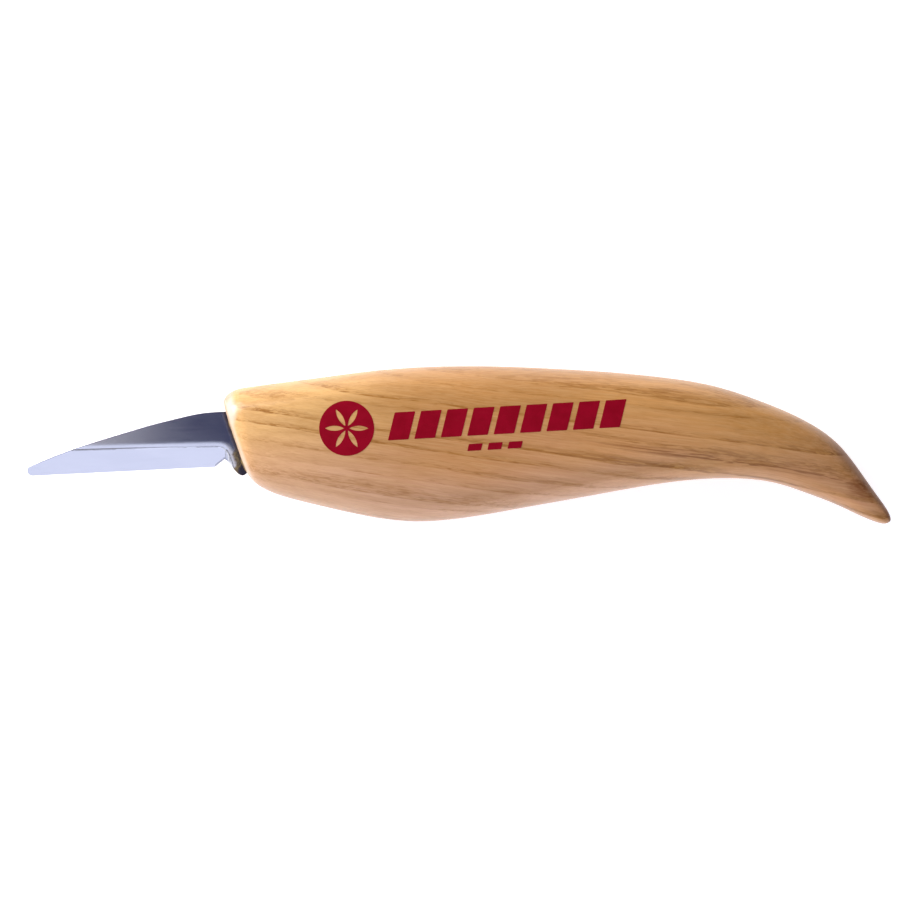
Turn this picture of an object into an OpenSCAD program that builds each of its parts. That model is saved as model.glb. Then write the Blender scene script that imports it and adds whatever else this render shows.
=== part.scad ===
// Detail carving knife, lying on its side.
// +X runs from the blade's tip to the handle's tail, +Y from the cutting edge to the spine, +Z up.
// The origin is under the middle of the knife, on the surface that it lies on.

/* [Handle] */
// Thickness of the planed board that the handle is shaped from
board_t = 19; // [17:0.5:21]
// How square the sides are in section: 2 is an ellipse, more is flatter
side_flatness = 3.4; // [2.4:0.1:4.5]
// How round the back and the belly are in section: 2 is an ellipse
edge_roundness = 2.1; // [1.8:0.1:3]
// Length of the round-over behind the front face
front_round = 3; // [1:0.5:4]
// How far the round-over cuts into the back, the sides and the belly
front_round_back = 2.7; // [1:0.1:4]
front_round_side = 2.4; // [1:0.2:3]
front_round_belly = 1.2; // [0.6:0.2:2]

/* [Blade] */
// Thickness of the blade's stock
blade_t = 2; // [1.6:0.1:3]
// Height of the bevel above the cutting edge
bevel_h = 4; // [3:0.1:5]
// Thickness left at the cutting edge
edge_t = 0.1; // [0.05:0.05:0.3]
// Radius of the rounded tip
tip_r = 1; // [0.6:0.1:1.4]

/* [Tang] */
// Length of the tang behind the handle's front face
tang_l = 46; // [30:1:52]
// Height of the tang
tang_h = 8.6; // [6:0.2:9]
// Gap around the tang that the adhesive fills
glue_gap = 0.4; // [0.2:0.1:0.8]

/* [Print] */
// Thickness of the ink film
ink_t = 0.05; // [0.03:0.01:0.1]
// Radius of the round emblem
emblem_r = 5.2; // [4:0.1:5.4]
// Number of slanted bars
bar_count = 9; // [5:1:9]
// Height of the slanted bars
bar_h = 5.2; // [3:0.1:5.4]
// Number of small dashes under the bars
dash_count = 3; // [2:1:4]

/* [Hidden] */

mid_z = board_t / 2;

// Handle stations from the front face to the tail. Each row holds a point for the back's outline,
// a point for the belly's outline, and half the thickness there before the board is planed.
handle_rows = [
    [-45.7,  10.2, -40.0,  -6.6,  7.4],
    [-37.0,  11.5, -36.0,  -9.4,  8.8],
    [-27.0,  12.7, -27.0, -11.5, 10.4],
    [-16.0,  14.3, -17.0, -13.9, 10.7],
    [ -5.0,  15.0,  -8.0, -15.0, 10.7],
    [  6.0,  15.1,   2.0, -14.0, 10.7],
    [ 17.0,  14.6,  13.0, -11.9, 10.6],
    [ 28.0,  14.0,  24.0, -10.0, 10.5],
    [ 38.5,  13.0,  35.0,  -7.9, 10.0],
    [ 48.5,  11.6,  45.0,  -6.5,  9.1],
    [ 57.5,   8.5,  53.5,  -6.3,  8.0],
    [ 65.5,   5.2,  60.5,  -7.0,  6.9],
    [ 72.0,   1.2,  67.0,  -9.4,  5.9],
    [ 76.0,  -4.0,  72.0, -11.2,  5.0],
    [ 79.5,  -9.1,  76.5, -13.5,  4.1],
    [ 82.2, -12.6,  80.0, -14.9,  3.2],
    [ 82.8, -14.6,  81.5, -15.2,  1.8],
    [ 82.1, -14.9,  82.1, -14.9,  0.0]
];

// Points around the section, and rings along the round-over, the body and the tail's end
section_points = 48;
round_rings = 6;
body_rings = 50;
tail_rings = 7;
body_from = 0.03;
body_to = 0.94;

// The tip's arc, from the spine round to the cutting edge
edge_angle = 2.8;
tip_at = [-81.5, -4.95];
tip_from = 112;
tip_to = 270 + edge_angle;
tip_steps = 12;
// The blade's spine from the tip's arc to the handle
spine_rows = [
    tip_at + tip_r * [cos(tip_from), sin(tip_from)],
    [-76, -1.5], [-68, 1.1], [-60, 3.5], [-54, 4.95], [-49, 6.2], [-44, 6.35]
];
spine_steps = 24;
// The heel behind the cutting edge: the notch, then the curve down to the handle
heel_rows = [[-44.8, -2.8], [-44.2, -3], [-43.2, -4.4], [-42, -5.8], [-41, -6], [-40.4, -5.3]];
heel_steps = 12;
edge_end = [-46.6, -4.24];
bevel_end_x = -44.5;
// How far cutting shapes run on, and how far shapes that join or cut at the front face run past it
reach = 50;
overlap = 0.4;

tang_y = 0.4;

emblem_at = [-21.2, 3.1];
petal_count = 6;
petal_r = 4.1;
bars_at = [-13.4, 0.8];
bars_tilt = 3.3;
bar_w = 3.9;
bar_pitch = 5;
slant = 17;
dashes_at = [1.6, -1.2];
dash_w = 2.6;
dash_h = 1.3;
dash_pitch = 3.8;

// A uniform cubic B-spline along a list of rows, met exactly at both ends, for u from 0 to 1
function blend_rows(a, b, c, d, t) =
    (pow(1 - t, 3) * a + (3 * pow(t, 3) - 6 * t * t + 4) * b
    + (1 + 3 * t + 3 * t * t - 3 * pow(t, 3)) * c + pow(t, 3) * d) / 6;

function along(rows, u) =
    let(last = len(rows) - 1)
    let(k = min(floor(u * last), last - 1))
    let(before = k > 0 ? rows[k - 1] : 2 * rows[0] - rows[1])
    let(after = k + 2 <= last ? rows[k + 2] : 2 * rows[last] - rows[last - 1])
    blend_rows(before, rows[k], rows[k + 1], after, u * last - k);

function signed_pow(v, e) = sign(v) * pow(abs(v), e);
function back_of(row) = [row[0], row[1]];
function belly_of(row) = [row[2], row[3]];
function middle_of(row) = (back_of(row) + belly_of(row)) / 2;

// The front face runs from the back's first point to the belly's first point, square to the side
front_back = back_of(handle_rows[0]);
front_belly = belly_of(handle_rows[0]);
front_up = (front_back - front_belly) / norm(front_back - front_belly);
front_in = [front_up[1], -front_up[0]];

// 1 at the front face and 0 past the round-over, on a quarter circle
function rounding(depth) = depth < front_round ? 1 - sqrt(1 - pow(1 - depth / front_round, 2)) : 0;

function ring(u) =
    let(row = along(handle_rows, u))
    let(up = (back_of(row) - belly_of(row)) / norm(back_of(row) - belly_of(row)))
    let(cut = rounding(max(0, (middle_of(row) - middle_of(handle_rows[0])) * front_in)))
    let(back = back_of(row) - up * cut * front_round_back)
    let(belly = belly_of(row) + up * cut * front_round_belly)
    let(half_t = row[4] - cut * front_round_side)
    [for (i = [0 : section_points - 1])
        let(a = 360 * i / section_points)
        let(p = (back + belly) / 2 + (back - belly) / 2 * signed_pow(cos(a), 2 / side_flatness))
        [p[0], p[1], mid_z + half_t * signed_pow(sin(a), 2 / edge_roundness)]];

handle_steps = concat(
    [for (i = [0 : round_rings - 1]) body_from * (1 - cos(90 * i / round_rings))],
    [for (i = [0 : body_rings]) body_from + (body_to - body_from) * i / body_rings],
    [for (i = [1 : tail_rings]) body_to + (1 - body_to) * sin(90 * i / (tail_rings + 1))]
);

// A closed solid over a list of rings with the same number of points, ending in one point
module skin(rings, end_point) {
    n = len(rings[0]);
    last = len(rings) - 1;
    points = concat([for (r = rings) each r], [end_point]);
    front = [[for (i = [0 : n - 1]) i]];
    sides = [for (k = [0 : last - 1], i = [0 : n - 1])
        let(j = (i + 1) % n)
        each [[k * n + i, (k + 1) * n + i, k * n + j], [k * n + j, (k + 1) * n + i, (k + 1) * n + j]]];
    end = [for (i = [0 : n - 1]) [last * n + i, len(points) - 1, last * n + (i + 1) % n]];
    polyhedron(points = points, faces = concat(front, sides, end), convexity = 6);
}

// Everything behind the handle's front face, and ahead of it by the given distance
module behind_front(ahead = 0) {
    corner = front_back + reach * front_up - ahead * front_in;
    polygon([
        corner,
        corner + 2 * reach * front_in,
        corner + 2 * reach * front_in - 3 * reach * front_up,
        corner - 3 * reach * front_up
    ]);
}

// The tang's outline, grown by the glue gap for the slot around it
module tang_outline(grow = 0, ahead = 0) {
    half_h = tang_h / 2 + grow;
    end_x = front_belly[0] + tang_l - tang_h / 2;
    intersection() {
        union() {
            translate([end_x - reach, tang_y - half_h])
                square([reach, 2 * half_h]);
            translate([end_x, tang_y])
                circle(r = half_h, $fn = 48);
        }
        behind_front(ahead);
    }
}

// A flat shape through the middle of the handle, as thick as asked
module plate(t) {
    translate([0, 0, mid_z - t / 2])
        linear_extrude(height = t)
            children();
}

module tang_solid(grow = 0, ahead = 0) {
    plate(blade_t + 2 * grow)
        tang_outline(grow, ahead);
}

module exposed_outline() {
    spine_end = spine_rows[len(spine_rows) - 1];
    heel_end = heel_rows[len(heel_rows) - 1];
    difference() {
        polygon(concat(
            [for (i = [0 : spine_steps]) along(spine_rows, 1 - i / spine_steps)],
            [for (i = [0 : tip_steps])
                let(a = tip_from + (tip_to - tip_from) * i / tip_steps)
                tip_at + tip_r * [cos(a), sin(a)]],
            [edge_end],
            [for (i = [0 : heel_steps]) along(heel_rows, i / heel_steps)],
            [[front_belly[0] + tip_r, heel_end[1]], [front_belly[0] + tip_r, spine_end[1]]]
        ));
        behind_front();
    }
}

// A prism along the cutting edge: it narrows to the edge and is thicker than the stock above the bevel
module bevel_prism() {
    land = edge_t / 2;
    rise = (blade_t / 2 - land) / bevel_h;
    translate([bevel_end_x, edge_end[1], mid_z])
        rotate([0, 0, edge_angle])
            rotate([90, 0, -90])
                linear_extrude(height = 2 * reach, center = true)
                    polygon([
                        [-reach, -blade_t],
                        [-(blade_t - land) / rise, -blade_t],
                        [0, -land],
                        [tip_r, -land],
                        [tip_r, land],
                        [0, land],
                        [-(blade_t - land) / rise, blade_t],
                        [-reach, blade_t]
                    ]);
}

module blade() {
    color([0.72, 0.73, 0.8])
    intersection() {
        plate(blade_t)
            union() {
                exposed_outline();
                tang_outline(0, overlap);
            }
        union() {
            bevel_prism();
            translate([bevel_end_x, -reach, mid_z - blade_t])
                cube([2 * reach, 2 * reach, 2 * blade_t]);
        }
    }
}

module handle() {
    rings = [for (u = handle_steps) ring(u)];
    color([0.84, 0.64, 0.42])
    difference() {
        intersection() {
            skin(rings, concat(back_of(handle_rows[len(handle_rows) - 1]), [mid_z]));
            translate([-2 * reach, -reach, 0])
                cube([4 * reach, 2 * reach, board_t]);
        }
        tang_solid(glue_gap, overlap);
    }
}

module tang_adhesive() {
    color([0.8, 0.72, 0.5])
    difference() {
        tang_solid(glue_gap);
        tang_solid(0, overlap);
    }
}

module print_emblem() {
    color([0.6, 0.02, 0.13])
    translate([emblem_at[0], emblem_at[1], board_t])
        linear_extrude(height = ink_t)
            difference() {
                circle(r = emblem_r, $fn = 96);
                for (i = [0 : petal_count - 1])
                    rotate([0, 0, 360 * i / petal_count])
                        petal();
            }
}

// A pointed petal from near the emblem's centre outward, where two circles overlap
module petal() {
    start = 0.5;
    length = petal_r - start;
    arc_r = length;
    offset_y = sqrt(arc_r * arc_r - length * length / 4);
    translate([start + length / 2, 0])
        intersection() {
            translate([0, offset_y])
                circle(r = arc_r, $fn = 72);
            translate([0, -offset_y])
                circle(r = arc_r, $fn = 72);
        }
}

// A bar that leans to the right by the slant angle
module slanted_bar(w, h) {
    lean = h * tan(slant);
    polygon([[0, 0], [w, 0], [w + lean, h], [lean, h]]);
}

// A row of slanted bars in ink, tilted along the handle
module bar_row(at, count, w, h, pitch) {
    translate([at[0], at[1], board_t])
        rotate([0, 0, bars_tilt])
            linear_extrude(height = ink_t)
                for (i = [0 : count - 1])
                    translate([i * pitch, 0])
                        slanted_bar(w, h);
}

module print_bars() {
    color([0.6, 0.02, 0.13])
    bar_row(bars_at, bar_count, bar_w, bar_h, bar_pitch);
}

module print_dashes() {
    color([0.6, 0.02, 0.13])
    bar_row(dashes_at, dash_count, dash_w, dash_h, dash_pitch);
}

blade();
handle();
tang_adhesive();
print_emblem();
print_bars();
print_dashes();
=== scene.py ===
"""The looks of the detail carving knife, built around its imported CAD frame.

The knife lies on its side: +X from the blade's tip to the handle's tail, +Y from the cutting edge to
the spine, +Z up. Shapes are worked out in millimetres, as in the CAD source, and made in metres.
"""

import math

import bmesh
import bpy
import numpy as np
from mathutils import Matrix, Vector


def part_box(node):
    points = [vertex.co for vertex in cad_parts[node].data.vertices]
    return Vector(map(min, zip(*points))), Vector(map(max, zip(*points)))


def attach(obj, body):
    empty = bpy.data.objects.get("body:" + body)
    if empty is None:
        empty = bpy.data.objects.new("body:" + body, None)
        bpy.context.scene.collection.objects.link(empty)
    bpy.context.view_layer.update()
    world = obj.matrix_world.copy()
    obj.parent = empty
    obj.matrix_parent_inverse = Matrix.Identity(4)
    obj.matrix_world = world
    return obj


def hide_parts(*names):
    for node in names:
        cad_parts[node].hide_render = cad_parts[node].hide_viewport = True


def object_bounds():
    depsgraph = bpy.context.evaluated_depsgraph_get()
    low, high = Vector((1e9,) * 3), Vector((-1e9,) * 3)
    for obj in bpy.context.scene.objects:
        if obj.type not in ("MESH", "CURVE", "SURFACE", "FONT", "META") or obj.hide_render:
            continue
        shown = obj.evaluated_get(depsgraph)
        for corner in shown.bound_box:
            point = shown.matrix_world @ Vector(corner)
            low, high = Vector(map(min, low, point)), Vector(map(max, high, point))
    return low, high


MM = 0.001

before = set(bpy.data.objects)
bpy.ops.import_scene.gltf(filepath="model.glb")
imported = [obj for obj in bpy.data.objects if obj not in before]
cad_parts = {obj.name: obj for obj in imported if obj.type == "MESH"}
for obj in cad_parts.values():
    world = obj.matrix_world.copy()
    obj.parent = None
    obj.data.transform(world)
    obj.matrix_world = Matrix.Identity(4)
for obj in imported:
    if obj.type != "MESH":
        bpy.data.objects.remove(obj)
CAD_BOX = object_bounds()

# ---------------------------------------------------------------- design values, in millimetres

BOARD_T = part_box("handle")[1].z / MM
MID_Z = BOARD_T / 2
# The board's planed sides fade into the shaped edges over this height
PLANE_BLEND = 1.8
# How far inside the CAD box the outermost points are kept
BOX_MARGIN = 0.0001

# Stations of the handle, as in the CAD source: a point for the back's outline, a point for the
# belly's outline, and half the thickness before the board is planed.
HANDLE_ROWS = [
    [-45.7, 10.2, -40.0, -6.6, 7.4],
    [-37.0, 11.5, -36.0, -9.4, 8.8],
    [-27.0, 12.7, -27.0, -11.5, 10.4],
    [-16.0, 14.3, -17.0, -13.9, 10.7],
    [-5.0, 15.0, -8.0, -15.0, 10.7],
    [6.0, 15.1, 2.0, -14.0, 10.7],
    [17.0, 14.6, 13.0, -11.9, 10.6],
    [28.0, 14.0, 24.0, -10.0, 10.5],
    [38.5, 13.0, 35.0, -7.9, 10.0],
    [48.5, 11.6, 45.0, -6.5, 9.1],
    [57.5, 8.5, 53.5, -6.3, 8.0],
    [65.5, 5.2, 60.5, -7.0, 6.9],
    [72.0, 1.2, 67.0, -9.4, 5.9],
    [76.0, -4.0, 72.0, -11.2, 5.0],
    [79.5, -9.1, 76.5, -13.5, 4.1],
    [82.2, -12.6, 80.0, -14.9, 3.2],
    [82.8, -14.6, 81.5, -15.2, 1.8],
    [82.1, -14.9, 82.1, -14.9, 0.0],
]
SIDE_FLATNESS, EDGE_ROUNDNESS = 3.4, 2.1
# The front face's edge is rounded over this depth, by these amounts at its back, sides and belly
FRONT_ROUND = 3.0
FRONT_ROUND_BACK, FRONT_ROUND_SIDE, FRONT_ROUND_BELLY = 2.7, 2.4, 1.2
# The net of the handle: points round a section, then rings in the round-over, the body and the tail
SECTION_POINTS, ROUND_RINGS, BODY_RINGS, TAIL_RINGS = 144, 14, 210, 26
# Where the body's rings start and end, as shares of the way along the stations
BODY_FROM, BODY_TO = 0.03, 0.94

BLADE_HALF_T = 1.0
EDGE_HALF_T, NOTCH_HALF_T = 0.02, 0.14
TIP_AT, TIP_R = (-81.5, -4.95), 1.0
SPINE_ROWS = [
    [-81.875, -4.023],
    [-76.0, -1.5],
    [-68.0, 1.1],
    [-60.0, 3.5],
    [-54.0, 4.95],
    [-49.0, 6.2],
    [-44.0, 6.35],
]
HEEL_ROWS = [[-44.8, -2.8], [-44.2, -3.0], [-43.2, -4.4], [-42.0, -5.8], [-41.0, -6.0], [-40.4, -5.3]]
EDGE_FROM, EDGE_END = (-81.451, -5.949), (-46.6, -4.24)
# The bevel's shoulder, then the plunge line that curves down to the heel
SHOULDER_ROWS = [
    [-92.0, -1.5],
    [-74.0, -1.03],
    [-60.0, -0.66],
    [-50.0, -0.38],
    [-46.2, -0.28],
    [-44.9, -0.45],
    [-44.1, -1.25],
    [-43.6, -2.4],
    [-43.2, -3.8],
    [-42.9, -5.2],
    [-42.7, -6.8],
]
# The buffed band beside the shoulder, and how far the buffing wears it down
BAND_W, BAND_DROP = 1.5, 0.066
# A burr along the shoulder, raised by grinding, which fades out towards the heel
BURR_W, BURR_H, BURR_FADE = 0.16, 0.014, (-66.0, -50.0)
# Dark marks that grinding and heating leave, and painted shade along the spine near the tip: their strength
# is a layer of the blade's mesh
MARK_LAYER = "grinding_mark_and_spine_shade"
LINE_MARK_W, RIM_MARK_W = 0.13, 0.3
# How steeply the plunge falls from its line, and how softly it runs into the bevel
PLUNGE_SLOPE, PLUNGE_BLEND = 1.2, 0.2
# The bevel's grinding ends beside the notch with a small step
GRIND_END_X, GRIND_STEP = -44.55, 0.04
SPINE_CHAMFER = 0.04

TANG_Y, TANG_H, TANG_END_X = 0.4, 8.6, 6.0
GLUE_GAP = 0.4
# The bead of glue: its width by the spine, how much wider it is by the heel, and its height
BEAD_W, BEAD_WIDER, BEAD_H = 0.42, 0.3, 0.3
# It reaches this far into the blade and behind the handle's front face, and thins to this at its ends
BEAD_SINK, BEAD_INSIDE, BEAD_END = 0.03, 0.08, 0.02

# The ink's film: its depth in the wood, its height over it, and its longest mesh edge
INK_SINK, INK_TOP, INK_MESH = 0.03, 0.04, 0.8
EMBLEM_AT, EMBLEM_R = (-21.2, 3.1), 5.2
PETALS, PETAL_FROM, PETAL_TO = 6, 0.5, 4.1
BARS_AT, BARS_TILT = (-13.4, 0.8), math.radians(3.3)
BAR_COUNT, BAR_W, BAR_H, BAR_PITCH = 9, 3.9, 5.2, 5.0
DASHES_AT = (1.6, -1.2)
DASH_COUNT, DASH_W, DASH_H, DASH_PITCH = 3, 2.6, 1.3, 3.8
SLANT = math.radians(17)

# The floor lies this far below the knife; its own faint light keeps shadows on it pale
FLOOR_DROP, FLOOR_GLOW = 0.02, 0.48

# ---------------------------------------------------------------- curves and meshes


def spline(rows, u):
    """Points of a uniform cubic B-spline along rows, met exactly at both ends, for u from 0 to 1."""
    rows = np.asarray(rows, float)
    u = np.atleast_1d(np.asarray(u, float))
    last = len(rows) - 1
    ends = np.vstack([2 * rows[0] - rows[1], rows, 2 * rows[-1] - rows[-2]])
    k = np.minimum((u * last).astype(int), last - 1)
    t = (u * last - k)[:, None]
    blend = (1 - t) ** 3 * ends[k] + (3 * t**3 - 6 * t**2 + 4) * ends[k + 1]
    blend += (1 + 3 * t + 3 * t**2 - 3 * t**3) * ends[k + 2] + t**3 * ends[k + 3]
    return blend / 6


def signed_power(v, e):
    return np.sign(v) * np.abs(v) ** e


def soft_limit(v, top, blend):
    """v, but no more than top, and rounded over where it nears it."""
    near = np.maximum(blend - np.abs(v - top), 0) / blend
    return np.minimum(v, top) - near**2 * blend / 4


def in_cad_box(points):
    """points, moved by the few microns that keep them inside the CAD frame's box."""
    low, high = (np.array(corner) / MM for corner in CAD_BOX)
    return np.clip(points, low + BOX_MARGIN, high - BOX_MARGIN)


def finished(name, bm, material, sharp_degrees=30):
    """A mesh object from bm, whose millimetres become metres, shaded smooth between sharp edges."""
    bmesh.ops.recalc_face_normals(bm, faces=bm.faces)
    mesh = bpy.data.meshes.new(name)
    bm.to_mesh(mesh)
    bm.free()
    mesh.transform(Matrix.Diagonal((MM, MM, MM, 1)))
    mesh.shade_smooth()
    mesh.set_sharp_from_angle(angle=math.radians(sharp_degrees))
    mesh.materials.append(material)
    piece = bpy.data.objects.new(name, mesh)
    bpy.context.scene.collection.objects.link(piece)
    return piece


def closed_from_top(bm, mirror_z=None, drop=None):
    """Closes the sheet in bm into a solid: a copy mirrored in the plane z = mirror_z, or moved down by
    drop, and a wall between every pair of open edges."""
    rim = [e for e in bm.edges if len(e.link_faces) == 1]
    copy = bmesh.ops.duplicate(bm, geom=bm.verts[:] + bm.edges[:] + bm.faces[:])
    twin = copy["vert_map"]
    for v in [g for g in copy["geom"] if isinstance(g, bmesh.types.BMVert)]:
        v.co.z = 2 * mirror_z - v.co.z if drop is None else v.co.z - drop
    for e in rim:
        a, b = e.verts
        bm.faces.new((a, b, twin[b], twin[a]))


# ---------------------------------------------------------------- handle


def front_frame():
    """The front face's corner on the back, its corner on the belly, and the unit line between."""
    back, belly = np.array(HANDLE_ROWS[0][:2]), np.array(HANDLE_ROWS[0][2:4])
    return back, belly, (back - belly) / np.linalg.norm(back - belly)


def front_x(y):
    """Where the front face lies at height y."""
    back, belly, up = front_frame()
    return belly[0] + (y - belly[1]) * up[0] / up[1]


def handle_rings():
    rim = BODY_FROM * (1 - np.cos(np.linspace(0, math.pi / 2, ROUND_RINGS, endpoint=False)))
    body = np.linspace(BODY_FROM, BODY_TO, BODY_RINGS)
    tail = BODY_TO + (1 - BODY_TO) * np.sin(np.linspace(0, math.pi / 2, TAIL_RINGS + 2)[1:-1])
    rows = spline(HANDLE_ROWS, np.concatenate([rim, body, tail]))
    back, belly, half_t = rows[:, 0:2], rows[:, 2:4], rows[:, 4]
    up = (back - belly) / np.linalg.norm(back - belly, axis=1)[:, None]
    front_back, front_belly, front_up = front_frame()
    inward = np.array([front_up[1], -front_up[0]])
    depth = ((back + belly) / 2 - (front_back + front_belly) / 2) @ inward
    cut = 1 - np.sqrt(1 - np.clip(1 - depth / FRONT_ROUND, 0, 1) ** 2)
    back = back - up * cut[:, None] * FRONT_ROUND_BACK
    belly = belly + up * cut[:, None] * FRONT_ROUND_BELLY
    half_t = half_t - cut * FRONT_ROUND_SIDE
    turn = np.linspace(0, 2 * math.pi, SECTION_POINTS, endpoint=False)
    across = signed_power(np.cos(turn), 2 / SIDE_FLATNESS)
    out = signed_power(np.sin(turn), 2 / EDGE_ROUNDNESS)
    xy = (back + belly)[:, None] / 2 + (back - belly)[:, None] / 2 * across[None, :, None]
    z = half_t[:, None] * out[None]
    z = np.sign(z) * soft_limit(np.abs(z), MID_Z, PLANE_BLEND)
    return in_cad_box(np.dstack([xy, MID_Z + z]))


def slot_outline():
    """The tang slot in plan, from the front face along its upper side, round its end and back."""
    half = TANG_H / 2 + GLUE_GAP
    end_x = TANG_END_X - TANG_H / 2
    turn = np.linspace(math.pi / 2, -math.pi / 2, 13)
    top, low = TANG_Y + half, TANG_Y - half
    arc = [(end_x + half * math.cos(a), TANG_Y + half * math.sin(a)) for a in turn]
    return [(front_x(top), top), *arc, (front_x(low), low)]


def make_handle(material):
    bm = bmesh.new()
    rings = [[bm.verts.new(p) for p in ring] for ring in handle_rings()]
    for a, b in zip(rings, rings[1:]):
        for i in range(SECTION_POINTS):
            j = (i + 1) % SECTION_POINTS
            bm.faces.new((a[i], b[i], b[j], a[j]))
    end = bm.verts.new((*HANDLE_ROWS[-1][:2], MID_Z))
    for i in range(SECTION_POINTS):
        bm.faces.new((rings[-1][i], end, rings[-1][(i + 1) % SECTION_POINTS]))
    # The blind slot that the tang is glued into, open in the front face
    half = BLADE_HALF_T + GLUE_GAP
    upper = [bm.verts.new((x, y, MID_Z + half)) for x, y in slot_outline()]
    lower = [bm.verts.new((x, y, MID_Z - half)) for x, y in slot_outline()]
    for i in range(len(upper) - 1):
        bm.faces.new((upper[i], upper[i + 1], lower[i + 1], lower[i]))
    bm.faces.new(upper)
    bm.faces.new(lower)
    mouth = [upper[0], lower[0], lower[-1], upper[-1]]
    edges = [bm.edges.get(pair) or bm.edges.new(pair) for pair in zip(mouth, mouth[1:] + mouth[:1])]
    edges += [bm.edges.get((rings[0][i - 1], rings[0][i])) for i in range(SECTION_POINTS)]
    bmesh.ops.triangle_fill(bm, use_beauty=True, edges=edges)
    return finished("ash_handle", bm, material)


# ---------------------------------------------------------------- blade


def edge_y(x):
    slope = (EDGE_END[1] - EDGE_FROM[1]) / (EDGE_END[0] - EDGE_FROM[0])
    return EDGE_END[1] + (x - EDGE_END[0]) * slope


def blade_columns():
    """Lower and upper ends of the lines that cross the blade, from the tip to the handle."""
    turn = np.linspace(0, math.pi / 2, 16)
    tip_x = TIP_AT[0] - TIP_R * np.cos(turn)
    x = np.concatenate([tip_x, np.linspace(TIP_AT[0], EDGE_END[0], 150)[1:]])
    spine = spline(SPINE_ROWS, np.linspace(0, 1, 400))
    round_y = np.sqrt(np.maximum(TIP_R**2 - (x - TIP_AT[0]) ** 2, 0))
    low_y = np.where(x < EDGE_FROM[0], TIP_AT[1] - round_y, edge_y(x))
    high_y = np.where(x < spine[0, 0], TIP_AT[1] + round_y, np.interp(x, spine[:, 0], spine[:, 1]))
    low, high = np.stack([x, low_y], 1), np.stack([x, high_y], 1)
    # The heel: up the notch behind the cutting edge, then down the curve to the front face
    notch = np.linspace(EDGE_END, HEEL_ROWS[0], 22)[1:]
    heel = spline(HEEL_ROWS, np.linspace(0, 1, 64))[1:]
    heel_low = np.concatenate([notch, heel])
    heel_low[-1] = (front_x(heel_low[-1, 1]), heel_low[-1, 1])
    top_x = np.linspace(EDGE_END[0], front_x(SPINE_ROWS[-1][1]), len(heel_low) + 1)[1:]
    heel_high = np.stack([top_x, np.interp(top_x, spine[:, 0], spine[:, 1])], 1)
    return np.concatenate([low, heel_low]), np.concatenate([high, heel_high])


def shoulder_offset(points):
    """Signed distance of plan points from the shoulder and plunge line, positive on the flat's side."""
    line = spline(SHOULDER_ROWS, np.linspace(0, 1, 700))
    step = np.gradient(line, axis=0)
    flat = points.reshape(-1, 2)
    nearest = np.empty(len(flat), int)
    for start in range(0, len(flat), 4000):
        gap = flat[start : start + 4000, None] - line[None]
        nearest[start : start + 4000] = (gap**2).sum(2).argmin(1)
    away = flat - line[nearest]
    along = step[nearest] / np.linalg.norm(step[nearest], axis=1)[:, None]
    return (along[:, 0] * away[:, 1] - along[:, 1] * away[:, 0]).reshape(points.shape[:-1])


def blade_half_thickness(points):
    """Half the blade's thickness at plan points: flat, buffed band, shoulder, bevel and plunge."""
    x, y = points[..., 0], points[..., 1]
    offset = shoulder_offset(points)
    shoulder_y = np.interp(x, *spline(SHOULDER_ROWS[:6], np.linspace(0, 1, 300)).T)
    at_shoulder = BLADE_HALF_T - BAND_DROP
    burr = BURR_H * np.clip((BURR_FADE[1] - x) / (BURR_FADE[1] - BURR_FADE[0]), 0, 1)
    flat = BLADE_HALF_T - BAND_DROP * (1 - np.clip(offset / BAND_W, 0, 1)) ** 2
    flat += burr * np.clip(1 - offset / BURR_W, 0, 1)
    rise = (at_shoulder - EDGE_HALF_T) / (shoulder_y - edge_y(x))
    bevel = EDGE_HALF_T + (y - edge_y(x)) * rise + np.where(x < GRIND_END_X, 0, GRIND_STEP)
    plunge = at_shoulder + PLUNGE_SLOPE * np.minimum(offset, 0)
    # The grinding wheel's corner rounds the plunge into the bevel
    near = np.maximum(PLUNGE_BLEND - np.abs(bevel - plunge), 0) / PLUNGE_BLEND
    ground = np.minimum(np.maximum(bevel, plunge) + near**2 * PLUNGE_BLEND / 4, at_shoulder)
    thinnest = np.where(x < GRIND_END_X, EDGE_HALF_T, NOTCH_HALF_T)
    return np.maximum(np.where(offset > 0, flat, ground), thinnest)


def blade_marks(points, low, high):
    """How strongly each plan point is marked near the shoulder, plunge and notch, and how much painted
    shade lies by the tip's spine.
    """
    x, y = points[..., 0], points[..., 1]
    offset = shoulder_offset(points)
    near_line = np.clip(1 - np.abs(offset - LINE_MARK_W / 2) / LINE_MARK_W, 0, 1)
    line = near_line * np.clip((-47.0 - x) / 20, 0.25, 0.8) * (x < GRIND_END_X)
    # Painted shade along the spine's edge near the tip
    from_high = (high[:, None, 1] - y) / RIM_MARK_W
    spine = np.clip(1 - from_high, 0, 1) * np.clip((-66.0 - x) / 6, 0, 0.6) * (x > TIP_AT[0] + 1)
    from_low = (y - low[:, None, 1]) / RIM_MARK_W
    behind_edge = (x > EDGE_END[0]) & (x < GRIND_END_X + 0.2)
    notch = np.clip(1.6 - from_low, 0, 0.55) * behind_edge
    end = np.clip(1 - np.abs(x - GRIND_END_X) / 0.16, 0, 0.45) * (offset < -0.15)
    ridge = np.clip(1 - np.abs(offset) / 0.25, 0, 0.7) * (y < -0.9)
    plunge = np.where((x > GRIND_END_X) & (offset < 0), 0.3, 0)
    return np.maximum.reduce([line, spine, notch, end, ridge, plunge])


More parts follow.
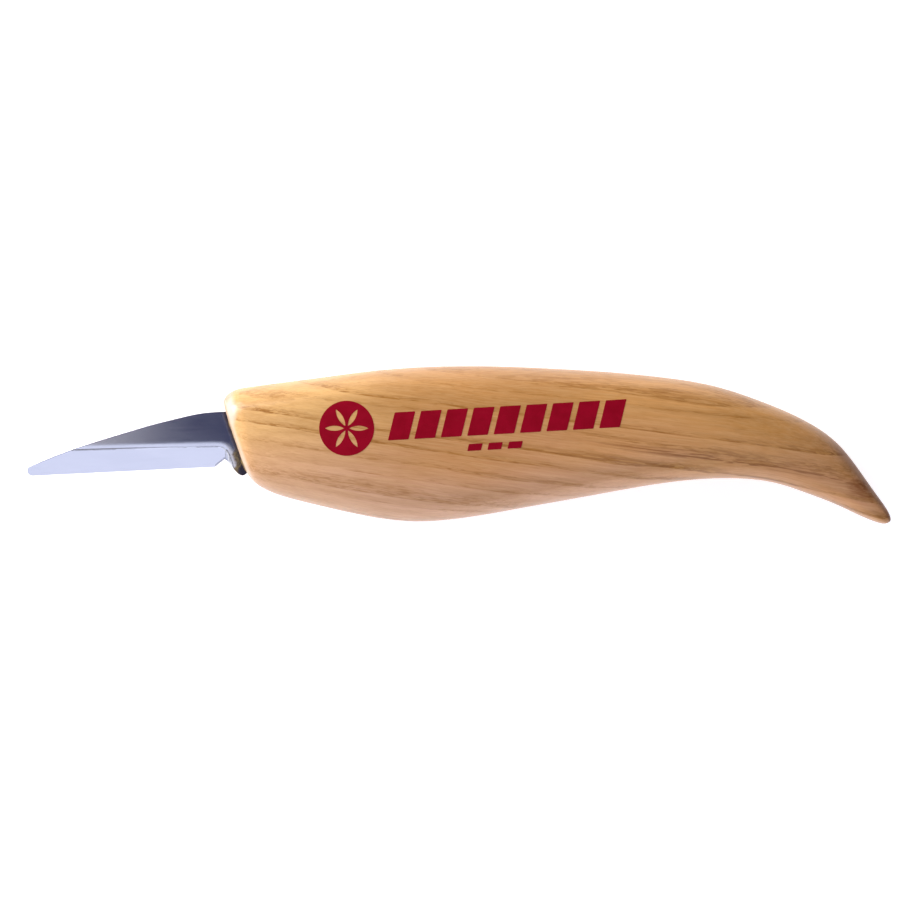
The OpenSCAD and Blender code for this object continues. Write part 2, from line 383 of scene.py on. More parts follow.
def column_shares(low, high):
    """Where the rows of the blade's net cross each column, as shares from its lower to upper end.

    Rows lie along the shoulder, both edges of the burr and the buffed band, and the spine's chamfer.
    """
    tries = np.linspace(0, 1, 500)
    offsets = shoulder_offset(low[:, None] + (high - low)[:, None] * tries[None, :, None])
    height = np.maximum(np.linalg.norm(high - low, axis=1), 1e-6)
    rim = 1 - SPINE_CHAMFER / height
    lines = [np.zeros(len(low))]
    for reach in (0, BURR_W, BAND_W):
        past = offsets < reach
        crossing = np.where(past.all(1), 1, np.argmin(past, axis=1) / (len(tries) - 1))
        lines.append(np.clip(crossing, lines[-1], rim))
    lines += [rim, np.ones(len(low))]
    parts = [lines[0][:, None]]
    for start, end, steps in zip(lines, lines[1:], (43, 2, 10, 13, 1)):
        parts.append(start[:, None] + (end - start)[:, None] * np.linspace(0, 1, steps + 1)[None, 1:])
    return np.concatenate(parts, axis=1)


def blade_net():
    low, high = blade_columns()
    shares = column_shares(low, high)[..., None]
    points = low[:, None] + (high - low)[:, None] * shares
    half_t = blade_half_thickness(points)
    half_t[:, -1] = np.minimum(half_t[:, -1], half_t[:, -2] - SPINE_CHAMFER / 2)
    z = MID_Z + np.maximum(half_t, EDGE_HALF_T)
    marks = blade_marks(points, low, high)
    marks[:, -1] = 0
    return np.dstack([in_cad_box(np.dstack([points, z])), marks])


def add_net(bm, net):
    """Faces between the net's points, whose fourth value, if any, is the mark there."""
    layer = bm.verts.layers.float.get(MARK_LAYER) or bm.verts.layers.float.new(MARK_LAYER)
    rows = []
    for column in net:
        rows.append([bm.verts.new(p[:3]) for p in column])
        for v, p in zip(rows[-1], column):
            v[layer] = p[3] if len(p) > 3 else 0
    for a, b in zip(rows, rows[1:]):
        for i in range(len(a) - 1):
            bm.faces.new((a[i], b[i], b[i + 1], a[i + 1]))


def tang_net(root):
    """The tang's upper side, from the root points on the front face to its round end."""
    end_x = TANG_END_X - TANG_H / 2
    straight = np.linspace(root[:, 0].max() + 1, end_x, 10)
    turned = end_x + TANG_H / 2 * np.sin(np.linspace(0, math.pi / 2, 13)[1:])
    share = (root[:, 1] - root[0, 1]) / (root[-1, 1] - root[0, 1])
    columns = [root]
    for x in np.concatenate([straight, turned]):
        half = math.sqrt(max((TANG_H / 2) ** 2 - max(x - end_x, 0) ** 2, 0))
        y = TANG_Y - half + 2 * half * share
        columns.append(np.stack([np.full(len(y), x), y, np.full(len(y), MID_Z + BLADE_HALF_T)], 1))
    return np.array(columns)


def make_blade(material):
    bm = bmesh.new()
    net = blade_net()
    last = net[-1]
    inner = np.abs(last[:, 1] - TANG_Y) < TANG_H / 2
    first, final = np.flatnonzero(inner)[[0, -1]]
    add_net(bm, net)
    add_net(bm, tang_net(last[first : final + 1, :3]))
    bmesh.ops.remove_doubles(bm, verts=bm.verts, dist=0.002)
    bmesh.ops.dissolve_degenerate(bm, edges=bm.edges, dist=0.001)
    closed_from_top(bm, mirror_z=MID_Z)
    return finished("steel_blade", bm, material, sharp_degrees=6)


# ---------------------------------------------------------------- glue and ink


def make_glue_bead(material):
    """The uneven line of epoxy squeezed out along the blade where it enters the handle. It is made wide and
    dark, partly as painted shade and a painted reflection of the handle along the joint.
    """
    bm = bmesh.new()
    up = front_frame()[2]
    out = np.array([-up[1], up[0]])
    low, high = HEEL_ROWS[-1][1] + 0.1, SPINE_ROWS[-1][1] - 0.1
    foot = BLADE_HALF_T - BEAD_SINK
    for side in (1, -1):
        columns = []
        for t in np.linspace(0, 1, 90):
            y = low + (high - low) * t
            middle = np.array([front_x(y), y])
            # Uneven all along and drawn in at both ends
            ripple = 0.12 * math.sin(9 * t + side) + 0.07 * math.sin(31 * t + 2 * side)
            end = math.sqrt(max(1 - (2 * t - 1) ** 6, 0))
            width = (BEAD_W + BEAD_WIDER * (1 - t) ** 2 + 0.7 * ripple) * end + BEAD_END
            height = (BEAD_H + 0.5 * ripple) * end + BEAD_END
            column = []
            for a in np.linspace(0, math.pi / 2, 8):
                xy = middle + out * (width * (1 - math.sin(a)))
                column.append((*xy, MID_Z + side * (foot + height * (1 - math.cos(a)))))
            inside = middle - out * BEAD_INSIDE
            column.append((*inside, MID_Z + side * (foot + height)))
            column.append((*inside, MID_Z + side * (BLADE_HALF_T - 2 * BEAD_SINK)))
            columns.append([bm.verts.new(p) for p in column])
        for a, b in zip(columns, columns[1:]):
            for i in range(len(a)):
                j = (i + 1) % len(a)
                bm.faces.new((a[i], b[i], b[j], a[j]))
        bm.faces.new(columns[0])
        bm.faces.new(columns[-1])
    return finished("glue_bead", bm, material)


def ink_plate(name, outlines, material, handle):
    """A thin film of ink that follows the handle's printed side, filled between closed outlines."""
    bm = bmesh.new()
    edges = []
    for outline in outlines:
        ring = [bm.verts.new((x, y, 0)) for x, y in outline]
        edges += [bm.edges.new((ring[i - 1], ring[i])) for i in range(len(ring))]
    bmesh.ops.triangle_fill(bm, use_beauty=True, edges=edges)
    # Long edges are halved, again and again, so that the film can follow the side
    for _ in range(4):
        long = [e for e in bm.edges if e.calc_length() > INK_MESH]
        bmesh.ops.subdivide_edges(bm, edges=long, cuts=1)
        bmesh.ops.triangulate(bm, faces=bm.faces)
    for v in bm.verts:
        ray_from = Vector((v.co.x, v.co.y, 2 * BOARD_T)) * MM
        v.co.z = handle.ray_cast(ray_from, Vector((0, 0, -1)))[1].z / MM + INK_TOP
    closed_from_top(bm, drop=INK_TOP + INK_SINK)
    return finished(name, bm, material)


def petal(turn):
    """A pointed petal outward from the emblem's centre, between two arcs."""
    length = PETAL_TO - PETAL_FROM
    arc = np.linspace(-math.pi / 6, math.pi / 6, 15)
    side = length * (np.cos(arc) - math.cos(math.pi / 6))
    run = PETAL_FROM + length / 2 + length * np.sin(arc)
    points = [*zip(run, side), *zip(run[-2:0:-1], -side[-2:0:-1])]
    c, s = math.cos(turn), math.sin(turn)
    return [(EMBLEM_AT[0] + c * x - s * y, EMBLEM_AT[1] + s * x + c * y) for x, y in points]


def make_emblem(material, handle):
    turn = np.linspace(0, 2 * math.pi, 144, endpoint=False)
    disc = [(EMBLEM_AT[0] + EMBLEM_R * math.cos(a), EMBLEM_AT[1] + EMBLEM_R * math.sin(a)) for a in turn]
    petals = [petal(2 * math.pi * i / PETALS) for i in range(PETALS)]
    return ink_plate("ink_emblem", [disc, *petals], material, handle)


def softened(corners, radius=0.16, steps=5):
    """A closed outline with its corners rounded, as ink leaves them."""
    points = []
    n = len(corners)
    for i in range(n):
        here = np.array(corners[i])
        before, after = np.array(corners[i - 1]) - here, np.array(corners[(i + 1) % n]) - here
        a = here + before / np.linalg.norm(before) * radius
        b = here + after / np.linalg.norm(after) * radius
        for t in np.linspace(0, 1, steps):
            points.append((1 - t) ** 2 * a + 2 * t * (1 - t) * here + t * t * b)
    return points


def slanted_bars(at, count, width, height, pitch):
    lean = height * math.tan(SLANT)
    c, s = math.cos(BARS_TILT), math.sin(BARS_TILT)
    outlines = []
    for i in range(count):
        bar = [(0, 0), (width, 0), (width + lean, height), (lean, height)]
        bar = softened([(x + i * pitch, y) for x, y in bar])
        outlines.append([(at[0] + c * x - s * y, at[1] + s * x + c * y) for x, y in bar])
    return outlines


# ---------------------------------------------------------------- materials


class Graph:
    """A node tree, built socket by socket: a new material's, or the one given."""

    def __init__(self, name, tree=None):
        if tree is None:
            self.material = bpy.data.materials.new(name)
            self.material.use_nodes = True
            tree = self.material.node_tree
        self.tree = tree
        self.tree.nodes.clear()

    def add(self, kind, values=None, **settings):
        node = self.tree.nodes.new("ShaderNode" + kind)
        for key, value in settings.items():
            setattr(node, key, value)
        for key, value in (values or {}).items():
            if isinstance(value, bpy.types.NodeSocket):
                self.tree.links.new(value, node.inputs[key])
            else:
                node.inputs[key].default_value = value
        return node

    def maths(self, operation, a, b=0.0, c=0.0, clamp=False):
        node = self.add("Math", {0: a, 1: b, 2: c}, operation=operation, use_clamp=clamp)
        return node.outputs[0]

    def times(self, a, b, clamp=False):
        return self.maths("MULTIPLY", a, b, clamp=clamp)

    def plus(self, a, b):
        return self.maths("ADD", a, b)

    def times_plus(self, a, b, c, clamp=False):
        """a times b, plus c."""
        return self.maths("MULTIPLY_ADD", a, b, c, clamp=clamp)

    def millimetres(self):
        """The knife's coordinates in millimetres, as x, y and z sockets."""
        where = self.add("TexCoord").outputs["Object"]
        grown = self.add("VectorMath", {0: where, "Scale": 1 / MM}, operation="SCALE").outputs[0]
        split = self.add("SeparateXYZ", {0: grown})
        return split.outputs[0], split.outputs[1], split.outputs[2]

    def vector(self, x, y, z):
        return self.add("CombineXYZ", {0: x, 1: y, 2: z}).outputs[0]

    def noise(self, vector, scale=1.0, detail=2.0, roughness=0.5):
        values = {"Vector": vector, "Scale": scale, "Detail": detail, "Roughness": roughness}
        return self.add("TexNoise", values).outputs[0]

    def ranged(self, value, low, high, to_low=0.0, to_high=1.0):
        """value's smooth step from low to high, as a step from to_low to to_high."""
        values = {0: value, 1: low, 2: high, 3: to_low, 4: to_high}
        return self.add("MapRange", values, interpolation_type="SMOOTHSTEP").outputs[0]

    def mixed(self, share, a, b):
        """The colour a, with b laid over it as far as share goes, 0 to 1."""
        node = self.add("Mix", data_type="RGBA", clamp_factor=True)
        for socket, value in ((node.inputs[0], share), (node.inputs[6], a), (node.inputs[7], b)):
            if isinstance(value, bpy.types.NodeSocket):
                self.tree.links.new(value, socket)
            else:
                socket.default_value = value
        return node.outputs[2]

    def ramp(self, value, stops):
        """The grey levels of stops, each a place and a level, eased from one to the next."""
        node = self.add("ValToRGB", {0: value})
        node.color_ramp.interpolation = "EASE"
        elements = node.color_ramp.elements
        while len(elements) < len(stops):
            elements.new(0.5)
        for element, (place, level) in zip(elements, stops):
            element.position = place
            element.color = (level, level, level, 1)
        return node.outputs[0]

    def bump(self, height, distance, strength):
        values = {"Height": height, "Distance": distance * MM, "Strength": strength}
        return self.add("Bump", values).outputs[0]

    def finish(self, **inputs):
        values = {key.replace("_", " "): value for key, value in inputs.items()}
        shader = self.add("BsdfPrincipled", values)
        self.add("OutputMaterial", {"Surface": shader.outputs[0]})
        return self.material


def rgb(red, green, blue):
    return (red, green, blue, 1)


# How porous a growth ring is from its start, 0, to its end, 1
RING_LEVELS = [(0.0, 0.1), (0.05, 0.9), (0.14, 1.0), (0.3, 0.45), (0.6, 0.08), (1.0, 0.1)]

WOOD = {
    "honey": rgb(0.61, 0.352, 0.128),
    "rose": rgb(0.53, 0.288, 0.152),
    # Painted light on the belly's side
    "painted_belly_light": rgb(0.72, 0.46, 0.34),
    "tan": rgb(0.46, 0.160, 0.026),
    "rosy_tan": rgb(0.485, 0.185, 0.055),
    "gold": rgb(0.50, 0.205, 0.012),
    "umber": rgb(0.26, 0.095, 0.02),
    "streak": rgb(0.33, 0.155, 0.045),
    "fibre": rgb(0.70, 0.46, 0.22),
    "row": rgb(0.34, 0.15, 0.025),
    "broad_ring": rgb(0.31, 0.115, 0.028),
    "line": rgb(0.235, 0.080, 0.007),
    "low_line": rgb(0.225, 0.085, 0.018),
    "dash": rgb(0.26, 0.100, 0.009),
    "pore": rgb(0.18, 0.062, 0.005),
    # Painted highlight on the round-over behind the front face
    "painted_round_over_highlight": rgb(0.53, 0.40, 0.28),
    "painted_corner_highlight": rgb(0.53, 0.48, 0.42),
    "end_grain": rgb(0.38, 0.225, 0.105),
    "end_pore": rgb(0.20, 0.095, 0.03),
    # Painted shade at the tail
    "painted_tail_shade": rgb(0.17, 0.050, 0.012),
}
STEEL = {
    "bright": rgb(0.68, 0.69, 0.76),
    "smudge": rgb(0.62, 0.63, 0.71),
    "scratch": rgb(0.80, 0.81, 0.86),
    "speck": rgb(0.30, 0.28, 0.30),
    "mark": rgb(0.07, 0.065, 0.08),
    "spine": rgb(0.27, 0.27, 0.31),
    # Painted reflection of the handle and painted contact shade beside it
    "dark_purple": rgb(0.040, 0.026, 0.040),
    "purple": rgb(0.19, 0.15, 0.19),
    "dark_olive": rgb(0.15, 0.095, 0.045),
    "olive": rgb(0.36, 0.26, 0.10),
    "heel": rgb(0.035, 0.024, 0.045),
    "straw": rgb(0.45, 0.36, 0.33),
}


def grain_space(g):
    """Plain millimetres x, y and z, then v and w across the grain, which slopes down to the tail."""
    x, y, z = g.millimetres()
    fan = g.times(g.times(x, y), -0.0025)
    bend = g.noise(g.vector(g.times(x, 0.014), g.times(y, 0.04), 3.7), 1.0, 2)
    v = g.plus(g.times_plus(x, 0.13, y), fan)
    v = g.plus(v, g.times_plus(bend, 3.6, -1.8))
    w = g.times_plus(x, 0.04, z)
    return x, y, z, v, w


def stretched_noise(g, space, along, across, detail=2.0, roughness=0.5):
    """Noise drawn out along the grain, with its scale along and across it in cycles per millimetre."""
    x, _, _, v, w = space
    scaled = [g.times(c, s) for c, s in ((x, along), (v, across), (w, across))]
    return g.noise(g.vector(*scaled), 1.0, detail, roughness)


def growth_rings(g, space):
    """How far a point is in its ring's porous start, and how strongly that ring shows, 0 to 1."""
    _, _, _, v, w = space
    side, deep = g.plus(v, 120.0), g.plus(w, 14.0)
    radius = g.maths("SQRT", g.plus(g.maths("POWER", side, 2.0), g.maths("POWER", deep, 2.0)))
    uneven = g.noise(g.vector(g.times(radius, 0.21), 0.0, 0.0), 1.0, 1)
    ripple = stretched_noise(g, space, 0.012, 0.16, 3, 0.55)
    count = g.times_plus(radius, 0.33, g.times(uneven, 2.0))
    count = g.times_plus(ripple, 1.1, count)
    early = g.ramp(g.maths("FRACT", count), RING_LEVELS)
    each = g.add("TexWhiteNoise", {"W": g.maths("FLOOR", count)}, noise_dimensions="1D").outputs[0]
    patch = stretched_noise(g, space, 0.03, 0.35, 2)
    shown = g.times(g.ranged(each, 0.0, 1.0, 0.3, 1.0), g.ranged(patch, 0.3, 0.62, 0.25, 1.0))
    return early, shown


def facing(g, x, y):
    """How far a surface faces the way of the plan vector (x, y), from -1 to 1."""
    normal = g.add("NewGeometry").outputs["Normal"]
    return g.add("VectorMath", {0: normal, 1: (x, y, 0)}, operation="DOT_PRODUCT").outputs["Value"]


def front_gap(g, x, y):
    """How far behind the handle's front face a point is, in plan."""
    slope = front_x(1) - front_x(0)
    return g.maths("SUBTRACT", x, g.times_plus(y, slope, front_x(0)))


def dark_patches(g, x, y, fibre):
    """Painted shade on the tail's end grain where it faces +X, away from the light, and a dark patch beside
    the tail's tip that is partly painted shade.
    """
    # Painted shade on the tail's faces turned towards +X
    to_tail = g.ranged(facing(g, 1, 0), 0.3, 0.9, 0.0, 0.85)
    end_grain = g.times(to_tail, g.ranged(x, 54.0, 74.0))
    # A dark patch beside the tail's tip, partly painted shade
    off_x, off_y = g.times_plus(x, 0.75, -58.6), g.plus(y, 7.8)
    off = g.plus(g.times(off_x, off_x), g.times(off_y, off_y))
    blotch = g.noise(g.vector(g.times(x, 0.4), y, 0.0), 0.7, 3, 0.65)
    patch = g.ranged(g.times_plus(blotch, 18.0, off), 9.0, 23.0, 0.85, 0.0)
    patch = g.times(patch, g.ranged(fibre, 0.3, 0.65, 1.0, 0.55))
    return g.maths("MAXIMUM", end_grain, patch)


def ash_ground(g, x, across, streak, fibre):
    """The wood between its rows of pores: honey on the back's side, rose on the belly's."""
    base = g.mixed(g.ranged(across, -9.0, 9.0), WOOD["rose"], WOOD["honey"])
    # It darkens from the front towards the tail
    tan = g.mixed(g.ranged(across, -3.0, 6.0), WOOD["rosy_tan"], WOOD["tan"])
    base = g.mixed(g.ranged(x, -30.0, 4.0, 0.0, 0.44), base, tan)
    gold = g.times(g.ranged(x, 40.0, 64.0, 0.0, 0.32), g.ranged(across, -6.0, 6.0))
    base = g.mixed(gold, base, WOOD["gold"])
    middle = g.times(g.ranged(x, -26.0, -10.0, 0.0, 0.26), g.ranged(x, 14.0, 34.0, 1.0, 0.0))
    base = g.mixed(middle, base, WOOD["umber"])
    # Painted light: towards the belly it is paler and pinker, between the front and the tail
    belly = g.times(g.ranged(x, -36.0, -12.0), g.ranged(x, 26.0, 48.0, 1.0, 0.0))
    belly = g.times(g.ranged(across, -12.0, 0.0, 0.4, 0.0), belly)
    base = g.mixed(belly, base, WOOD["painted_belly_light"])
    base = g.mixed(g.ranged(streak, 0.35, 0.65, 0.35, 0.0), base, WOOD["streak"])
    return g.mixed(g.ranged(fibre, 0.35, 0.7, 0.0, 0.2), base, WOOD["fibre"])


def ash_figure(g, space, base, rows, streak):
    """base with the growth rings' rows, lines and pores drawn on it, and how deep the pores are."""
    x, y, _, v, _ = space
    dash = stretched_noise(g, space, 0.27, 2.3)
    line = stretched_noise(g, space, 0.06, 3.0)
    pore = stretched_noise(g, space, 0.5, 4.6, roughness=0.45)
    # The rows stand out most below the print
    strong = g.times(g.ranged(y, -1.0, 5.0, 1.0, 0.0), g.ranged(x, -24.0, 0.0))
    row_share = g.times(rows, g.times_plus(strong, 0.35, 0.55))
    base = g.mixed(row_share, base, WOOD["row"])
    # One growth ring is broad and dark where it runs out along the tail
    off_ring = g.maths("ABSOLUTE", g.times_plus(streak, 1.6, g.plus(v, -4.5)))
    ring = g.times(g.ranged(off_ring, 0.1, 0.85, 0.9, 0.0), g.ranged(x, 14.0, 40.0))
    base = g.mixed(g.times(ring, 0.3), base, WOOD["broad_ring"])
    lines = g.times(g.maths("MAXIMUM", rows, ring), g.ranged(x, -14.0, 24.0, 0.55, 1.0))
    lines = g.times(g.ranged(line, 0.45, 0.57, 0.0, 0.72), lines)
    lines = g.times(lines, g.times_plus(strong, 0.38, 1.0), clamp=True)
    base = g.mixed(lines, base, g.mixed(strong, WOOD["line"], WOOD["low_line"]))
    dashes = g.times(g.ranged(dash, 0.47, 0.58), g.times_plus(rows, 0.97, 0.03))
    base = g.mixed(g.times(dashes, 0.85), base, WOOD["dash"])
    pores = g.times(g.ranged(pore, 0.54, 0.66), g.times_plus(rows, 0.9, 0.1))
    return g.mixed(g.times(pores, 0.75), base, WOOD["pore"]), pores


def ash_front(g, space, base, rows, cloud):
    """base with a painted highlight on the round-over behind the front face, and the end grain of the face
    itself.
    """
    x, y, z, _, _ = space
    # Painted highlight on the round-over behind the front face, palest and widest at its corner with the
    # back
    width = g.ranged(y, 3.0, 7.0, 1.1, 2.5)
    gap = g.maths("DIVIDE", g.times_plus(cloud, 0.5, front_gap(g, x, y)), width)
    painted_round_over_highlight = g.mixed(g.ranged(y, 2.0, 7.0), WOOD["painted_round_over_highlight"], WOOD["painted_corner_highlight"])
    base = g.mixed(g.ranged(gap, 0.7, 1.3, 0.8, 0.0), base, painted_round_over_highlight)
    # On the face the pores are cut across into dots
    dots = g.ranged(g.noise(g.vector(x, y, z), 2.6, 2, 0.6), 0.5, 0.64, 0.0, 0.7)
    spots = g.times_plus(rows, 0.5, dots)
    face = g.maths("MAXIMUM", facing(g, -1, 0), facing(g, -0.8, 0.6))
    face_tone = g.mixed(spots, WOOD["end_grain"], WOOD["end_pore"])
    return g.mixed(g.ranged(face, 0.78, 0.97, 0.0, 0.8), base, face_tone)


def ash_wood():
    """Clear-lacquered ash: growth rings that start with rows of open pores, long along the grain."""
    g = Graph("ash_wood")
    space = grain_space(g)
    x, y = space[:2]
    early, shown = growth_rings(g, space)
    rows = g.times(early, shown)
    streak = stretched_noise(g, space, 0.02, 0.5, 3, 0.6)
    fibre = stretched_noise(g, space, 0.07, 3.8, 3, 0.65)
    cloud = g.noise(g.vector(g.times(x, 0.03), g.times(y, 0.07), 0.0), 1.0, 2)
    across = g.times_plus(g.times_plus(cloud, 2.0, -1.0), 9.0, y)

    base = ash_ground(g, x, across, streak, fibre)
    base, pores = ash_figure(g, space, base, rows, streak)
    base = ash_front(g, space, base, rows, cloud)
    # Painted shade at the tail's end grain and beside its tip
    painted_tail_shade = dark_patches(g, x, y, fibre)
    base = g.mixed(painted_tail_shade, base, WOOD["painted_tail_shade"])

    height = g.times_plus(fibre, 0.2, g.times(pores, -1.0))
    lacquer_height = g.times_plus(pores, -0.7, g.times(cloud, 0.3))
    return g.finish(
        Base_Color=base,
        Roughness=g.ranged(fibre, 0.3, 0.7, 0.46, 0.58),
        Specular_IOR_Level=0.1,
        Normal=g.bump(height, 0.03, 0.35),
        Coat_Weight=g.times_plus(painted_tail_shade, -0.6, 0.6, clamp=True),
        Coat_Roughness=g.ranged(streak, 0.3, 0.7, 0.2, 0.26),
        Coat_Normal=g.bump(lacquer_height, 0.02, 0.3),
    )


def painted_handle_reflection(g, x, y):
    """A painted reflection of the handle with painted contact shade, in purple, olive and straw on the
    steel beside the handle, and how far it reaches.
    """
    gap = g.times(front_gap(g, x, y), -1.0)
    reach = g.ranged(y, -2.0, -0.6, 1.75, 0.95)
    waver = g.noise(g.vector(x, y, 0.0), 1.3, 3, 0.6)
    share = g.plus(g.maths("DIVIDE", gap, reach), g.times_plus(waver, 0.5, -0.25))
    share = g.plus(share, g.ranged(y, -5.2, -3.7, -0.7, 0.0))
    purple = g.mixed(g.ranged(share, 0.2, 0.9), STEEL["dark_purple"], STEEL["purple"])
    mottle = g.ranged(g.noise(g.vector(x, y, 0.0), 3.0, 2, 0.6), 0.38, 0.62)
    olive = g.mixed(mottle, STEEL["dark_olive"], STEEL["olive"])
    heel = g.mixed(g.ranged(share, 0.12, 0.42), STEEL["heel"], olive)
    heel = g.mixed(g.ranged(share, 0.8, 1.1), heel, STEEL["straw"])
    tone = g.mixed(g.ranged(y, -1.9, -0.4, 1.0, 0.0), purple, heel)
    return tone, g.ranged(share, 0.7, 1.15, 0.92, 0.0)


def ground_steel():
    """Polished carbon steel with fine grinding lines, smudges, a painted reflection of the handle with
    painted contact shade beside it, and a duller spine.
    """
    g = Graph("ground_steel")
    x, y, z = g.millimetres()
    mark = g.add("Attribute", attribute_name=MARK_LAYER).outputs["Fac"]
    lines = g.noise(g.vector(g.times(x, 0.12), g.times(y, 14.0), z), 1.0, 3, 0.65)
    cross = g.noise(g.vector(g.times(x, 9.0), g.times(y, 0.8), z), 1.0, 2, 0.6)
    smudge = g.noise(g.vector(g.times(x, 0.25), y, z), 0.3, 3, 0.6)
    speck = g.noise(g.vector(x, y, z), 2.4, 3, 0.7)
    tone = g.mixed(g.ranged(smudge, 0.35, 0.7, 0.0, 0.5), STEEL["bright"], STEEL["smudge"])
    tone = g.mixed(g.ranged(lines, 0.4, 0.75, 0.0, 0.2), tone, STEEL["scratch"])
    tone = g.mixed(g.ranged(speck, 0.68, 0.78, 0.0, 0.3), tone, STEEL["speck"])
    reflection_tone, reflection_share = painted_handle_reflection(g, x, y)
    # Painted reflection of the handle and painted contact shade on the steel beside it
    tone = g.mixed(reflection_share, tone, reflection_tone)
    # Grinding marks, with painted shade along the spine near the tip
    ragged = g.times(mark, g.ranged(speck, 0.3, 0.6, 0.3, 1.0))
    tone = g.mixed(ragged, tone, STEEL["mark"])
    spine = g.ranged(facing(g, 0, 1), 0.6, 0.85)
    tone = g.mixed(g.times(spine, 0.85), tone, STEEL["spine"])
    rough = g.ranged(smudge, 0.3, 0.7, 0.09, 0.115)
    rough = g.plus(rough, g.ranged(lines, 0.4, 0.8, 0.0, 0.03))
    rough = g.times_plus(reflection_share, 0.12, rough)
    rough = g.times_plus(spine, 0.22, rough)
    height = g.times_plus(cross, 0.12, lines)
    return g.finish(
        Base_Color=tone,
        Metallic=1.0,
        Roughness=g.times_plus(ragged, 0.2, rough),
        Anisotropic=0.25,
        Normal=g.bump(height, 0.004, 0.2),
    )


def cured_epoxy():
    """Dark amber epoxy, uneven in depth and glossy."""
    g = Graph("cured_epoxy")
    x, y, z = g.millimetres()
    cloud = g.noise(g.vector(x, y, z), 0.8, 3, 0.6)
    fine = g.noise(g.vector(x, y, z), 4.0, 2, 0.6)
    tone = g.mixed(g.ranged(cloud, 0.38, 0.62), rgb(0.060, 0.030, 0.022), rgb(0.17, 0.115, 0.035))
    return g.finish(
        Base_Color=tone,
        Roughness=g.ranged(fine, 0.3, 0.7, 0.12, 0.24),
        Normal=g.bump(g.times_plus(fine, 0.2, cloud), 0.08, 0.4),
    )


def red_ink():
    """Dark red ink, a little thin where it bridges the wood's pores."""
    g = Graph("red_ink")
    x, y, z = g.millimetres()
    grain = g.times_plus(x, 0.12, y)
    fibre = g.noise(g.vector(g.times(x, 0.3), g.times(grain, 5.0), z), 1.2, 3, 0.6)
    cloud = g.noise(g.vector(x, y, z), 0.5, 2)
    tone = g.mixed(g.ranged(cloud, 0.3, 0.7), rgb(0.205, 0.0005, 0.009), rgb(0.235, 0.001, 0.012))
    tone = g.mixed(g.ranged(fibre, 0.6, 0.8, 0.0, 0.35), tone, rgb(0.27, 0.012, 0.02))
    return g.finish(
        Base_Color=tone,
        Roughness=g.ranged(fibre, 0.3, 0.7, 0.42, 0.55),
        Specular_IOR_Level=0.05,
        Normal=g.bump(fibre, 0.03, 0.4),
    )


def pale_floor():
    g = Graph("pale_floor")
    x, y, z = g.millimetres()
    grit = g.noise(g.vector(x, y, z), 0.6, 3, 0.6)
    tone = g.mixed(grit, rgb(0.90, 0.90, 0.905), rgb(0.93, 0.93, 0.93))
    return g.finish(Base_Color=tone, Roughness=0.9, Emission_Color=tone, Emission_Strength=FLOOR_GLOW)


# ---------------------------------------------------------------- stage


def make_floor(material):
    bm = bmesh.new()
    bmesh.ops.create_grid(bm, x_segments=8, y_segments=8, size=2000)
    floor = finished("floor", bm, material)
    floor.location.z = -FLOOR_DROP * MM


def aimed(obj, target):
    obj.rotation_mode = "QUATERNION"
    obj.rotation_quaternion = (Vector(target) - obj.location).to_track_quat("-Z", "Y")


def soft_box(name, place, target, size, power, colour):
    data = bpy.data.lights.new(name, "AREA")
    data.shape = "RECTANGLE"
    data.size, data.size_y = size
    data.energy = power
    data.color = colour
    light = bpy.data.objects.new(name, data)
    light.location = place
    bpy.context.scene.collection.objects.link(light)
    aimed(light, target)
    return light


def make_lights():
    middle = (0.0, 0.0, 0.01)
    soft_box("key", (-0.40, 0.38, 0.26), middle, (0.36, 0.30), 3.5, (1.0, 0.95, 0.89))
    panel, below_panel = (-0.06, -0.30, 0.60), (-0.06, -0.30, 0.0)
    soft_box("front_panel", panel, below_panel, (0.90, 0.50), 1.55, (0.84, 0.87, 1.0))
    soft_box("left_panel", (-0.265, 0.10, 0.60), (-0.265, 0.10, 0.0), (0.28, 0.44), 0.31, (1.0, 0.95, 0.90))
    rim, below_rim = (-0.1125, 0.10, 0.60), (-0.1125, 0.10, 0.0)
    soft_box("left_panel_rim", rim, below_rim, (0.025, 0.44), 0.012, (1.0, 0.97, 0.95))
    soft_box("left_low", (-0.44, 0.20, 0.12), (-0.04, 0.0, 0.01), (0.20, 0.16), 1.35, (1.0, 0.99, 0.98))
    soft_box("front_left", (-0.46, -0.14, 0.14), (-0.04, 0.0, 0.01), (0.24, 0.16), 0.15, (1.0, 0.97, 0.94))
    # A diffuse fill that leaves no highlight of its own on lacquer or steel
    fill = soft_box("front_low", (-0.10, -0.55, 0.24), middle, (1.00, 0.45), 1.5, (0.97, 0.94, 0.98))
    fill.visible_glossy = False
    make_world()


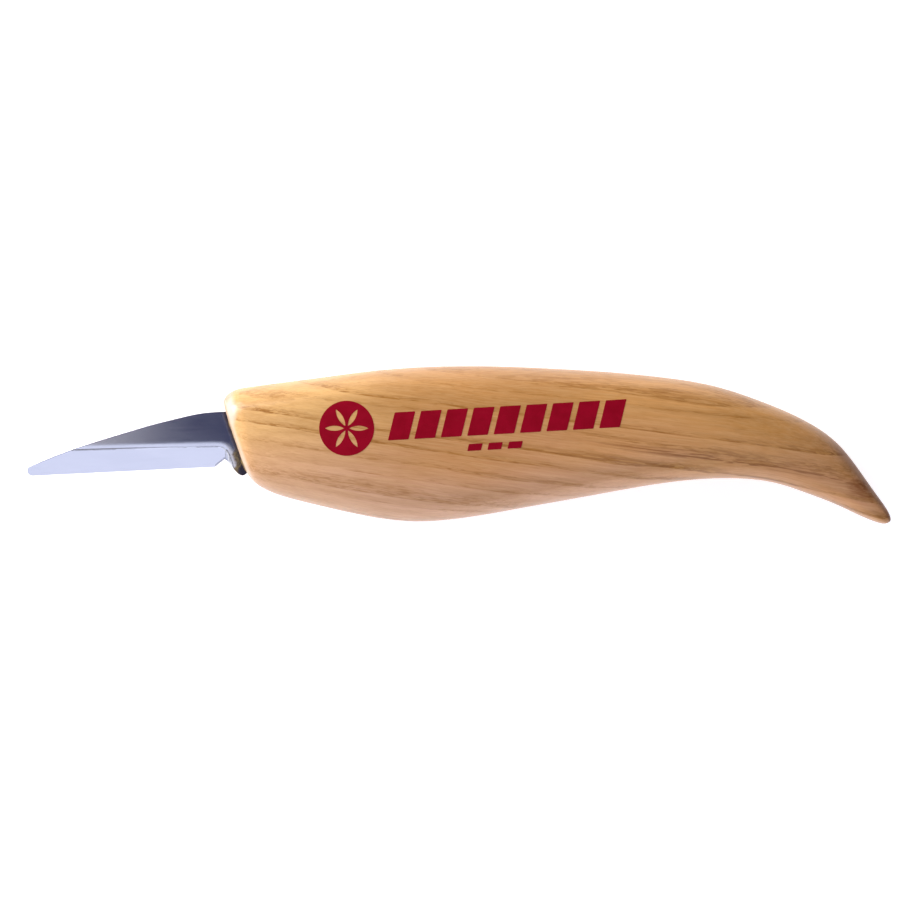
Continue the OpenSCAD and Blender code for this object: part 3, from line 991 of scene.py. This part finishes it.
def make_world():
    """A studio that is pale round the horizon, dark blue overhead and darker still to the right."""
    world = bpy.data.worlds.new("studio")
    world.use_nodes = True
    g = Graph("studio", world.node_tree)
    across, _, up = g.add("SeparateXYZ", {0: g.add("TexCoord").outputs["Generated"]}).outputs
    low = g.ranged(up, 0.55, 0.93, 1.0, 0.0)
    left = g.ranged(across, -0.6, 0.8, 1.0, 0.25)
    glow = g.times(low, left)
    tone = g.mixed(glow, rgb(0.030, 0.036, 0.095), rgb(0.80, 0.82, 0.86))
    shader = g.add("Background", {"Color": tone, "Strength": 1.1})
    g.add("OutputWorld", {"Surface": shader.outputs[0]})
    bpy.context.scene.world = world


def make_camera():
    """Looks straight down at the knife's side, as far off as leaves it nearly without perspective."""
    distance, view_width, sensor = 0.8, 0.17215, 36.0
    data = bpy.data.cameras.new("camera")
    data.sensor_width = sensor
    data.lens = sensor * distance / view_width
    data.clip_end = 10
    camera = bpy.data.objects.new("camera", data)
    camera.location = (-0.00166, -0.00101, MID_Z * MM + distance)
    bpy.context.scene.collection.objects.link(camera)
    bpy.context.scene.camera = camera


# ---------------------------------------------------------------- the knife


def build():
    wood, steel, epoxy, ink = ash_wood(), ground_steel(), cured_epoxy(), red_ink()
    handle = make_handle(wood)
    bars = slanted_bars(BARS_AT, BAR_COUNT, BAR_W, BAR_H, BAR_PITCH)
    dashes = slanted_bars(DASHES_AT, DASH_COUNT, DASH_W, DASH_H, DASH_PITCH)
    pieces = [
        (handle, "handle_ash", ["handle"]),
        (make_blade(steel), "blade_steel", ["blade"]),
        (make_glue_bead(epoxy), "epoxy", []),
        (make_emblem(ink, handle), "red_ink", ["print_emblem"]),
        (ink_plate("ink_bars", bars, ink, handle), "red_ink", ["print_bars"]),
        (ink_plate("ink_dashes", dashes, ink, handle), "red_ink", ["print_dashes"]),
    ]
    for piece, slot, nodes in pieces:
        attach(piece, "root")
        if nodes:
            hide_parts(*nodes)
    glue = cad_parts["tang_adhesive"].data
    glue.materials.clear()
    glue.materials.append(epoxy)


build()
make_floor(pale_floor())
make_lights()
make_camera()
bpy.context.scene.view_settings.view_transform = "Standard"
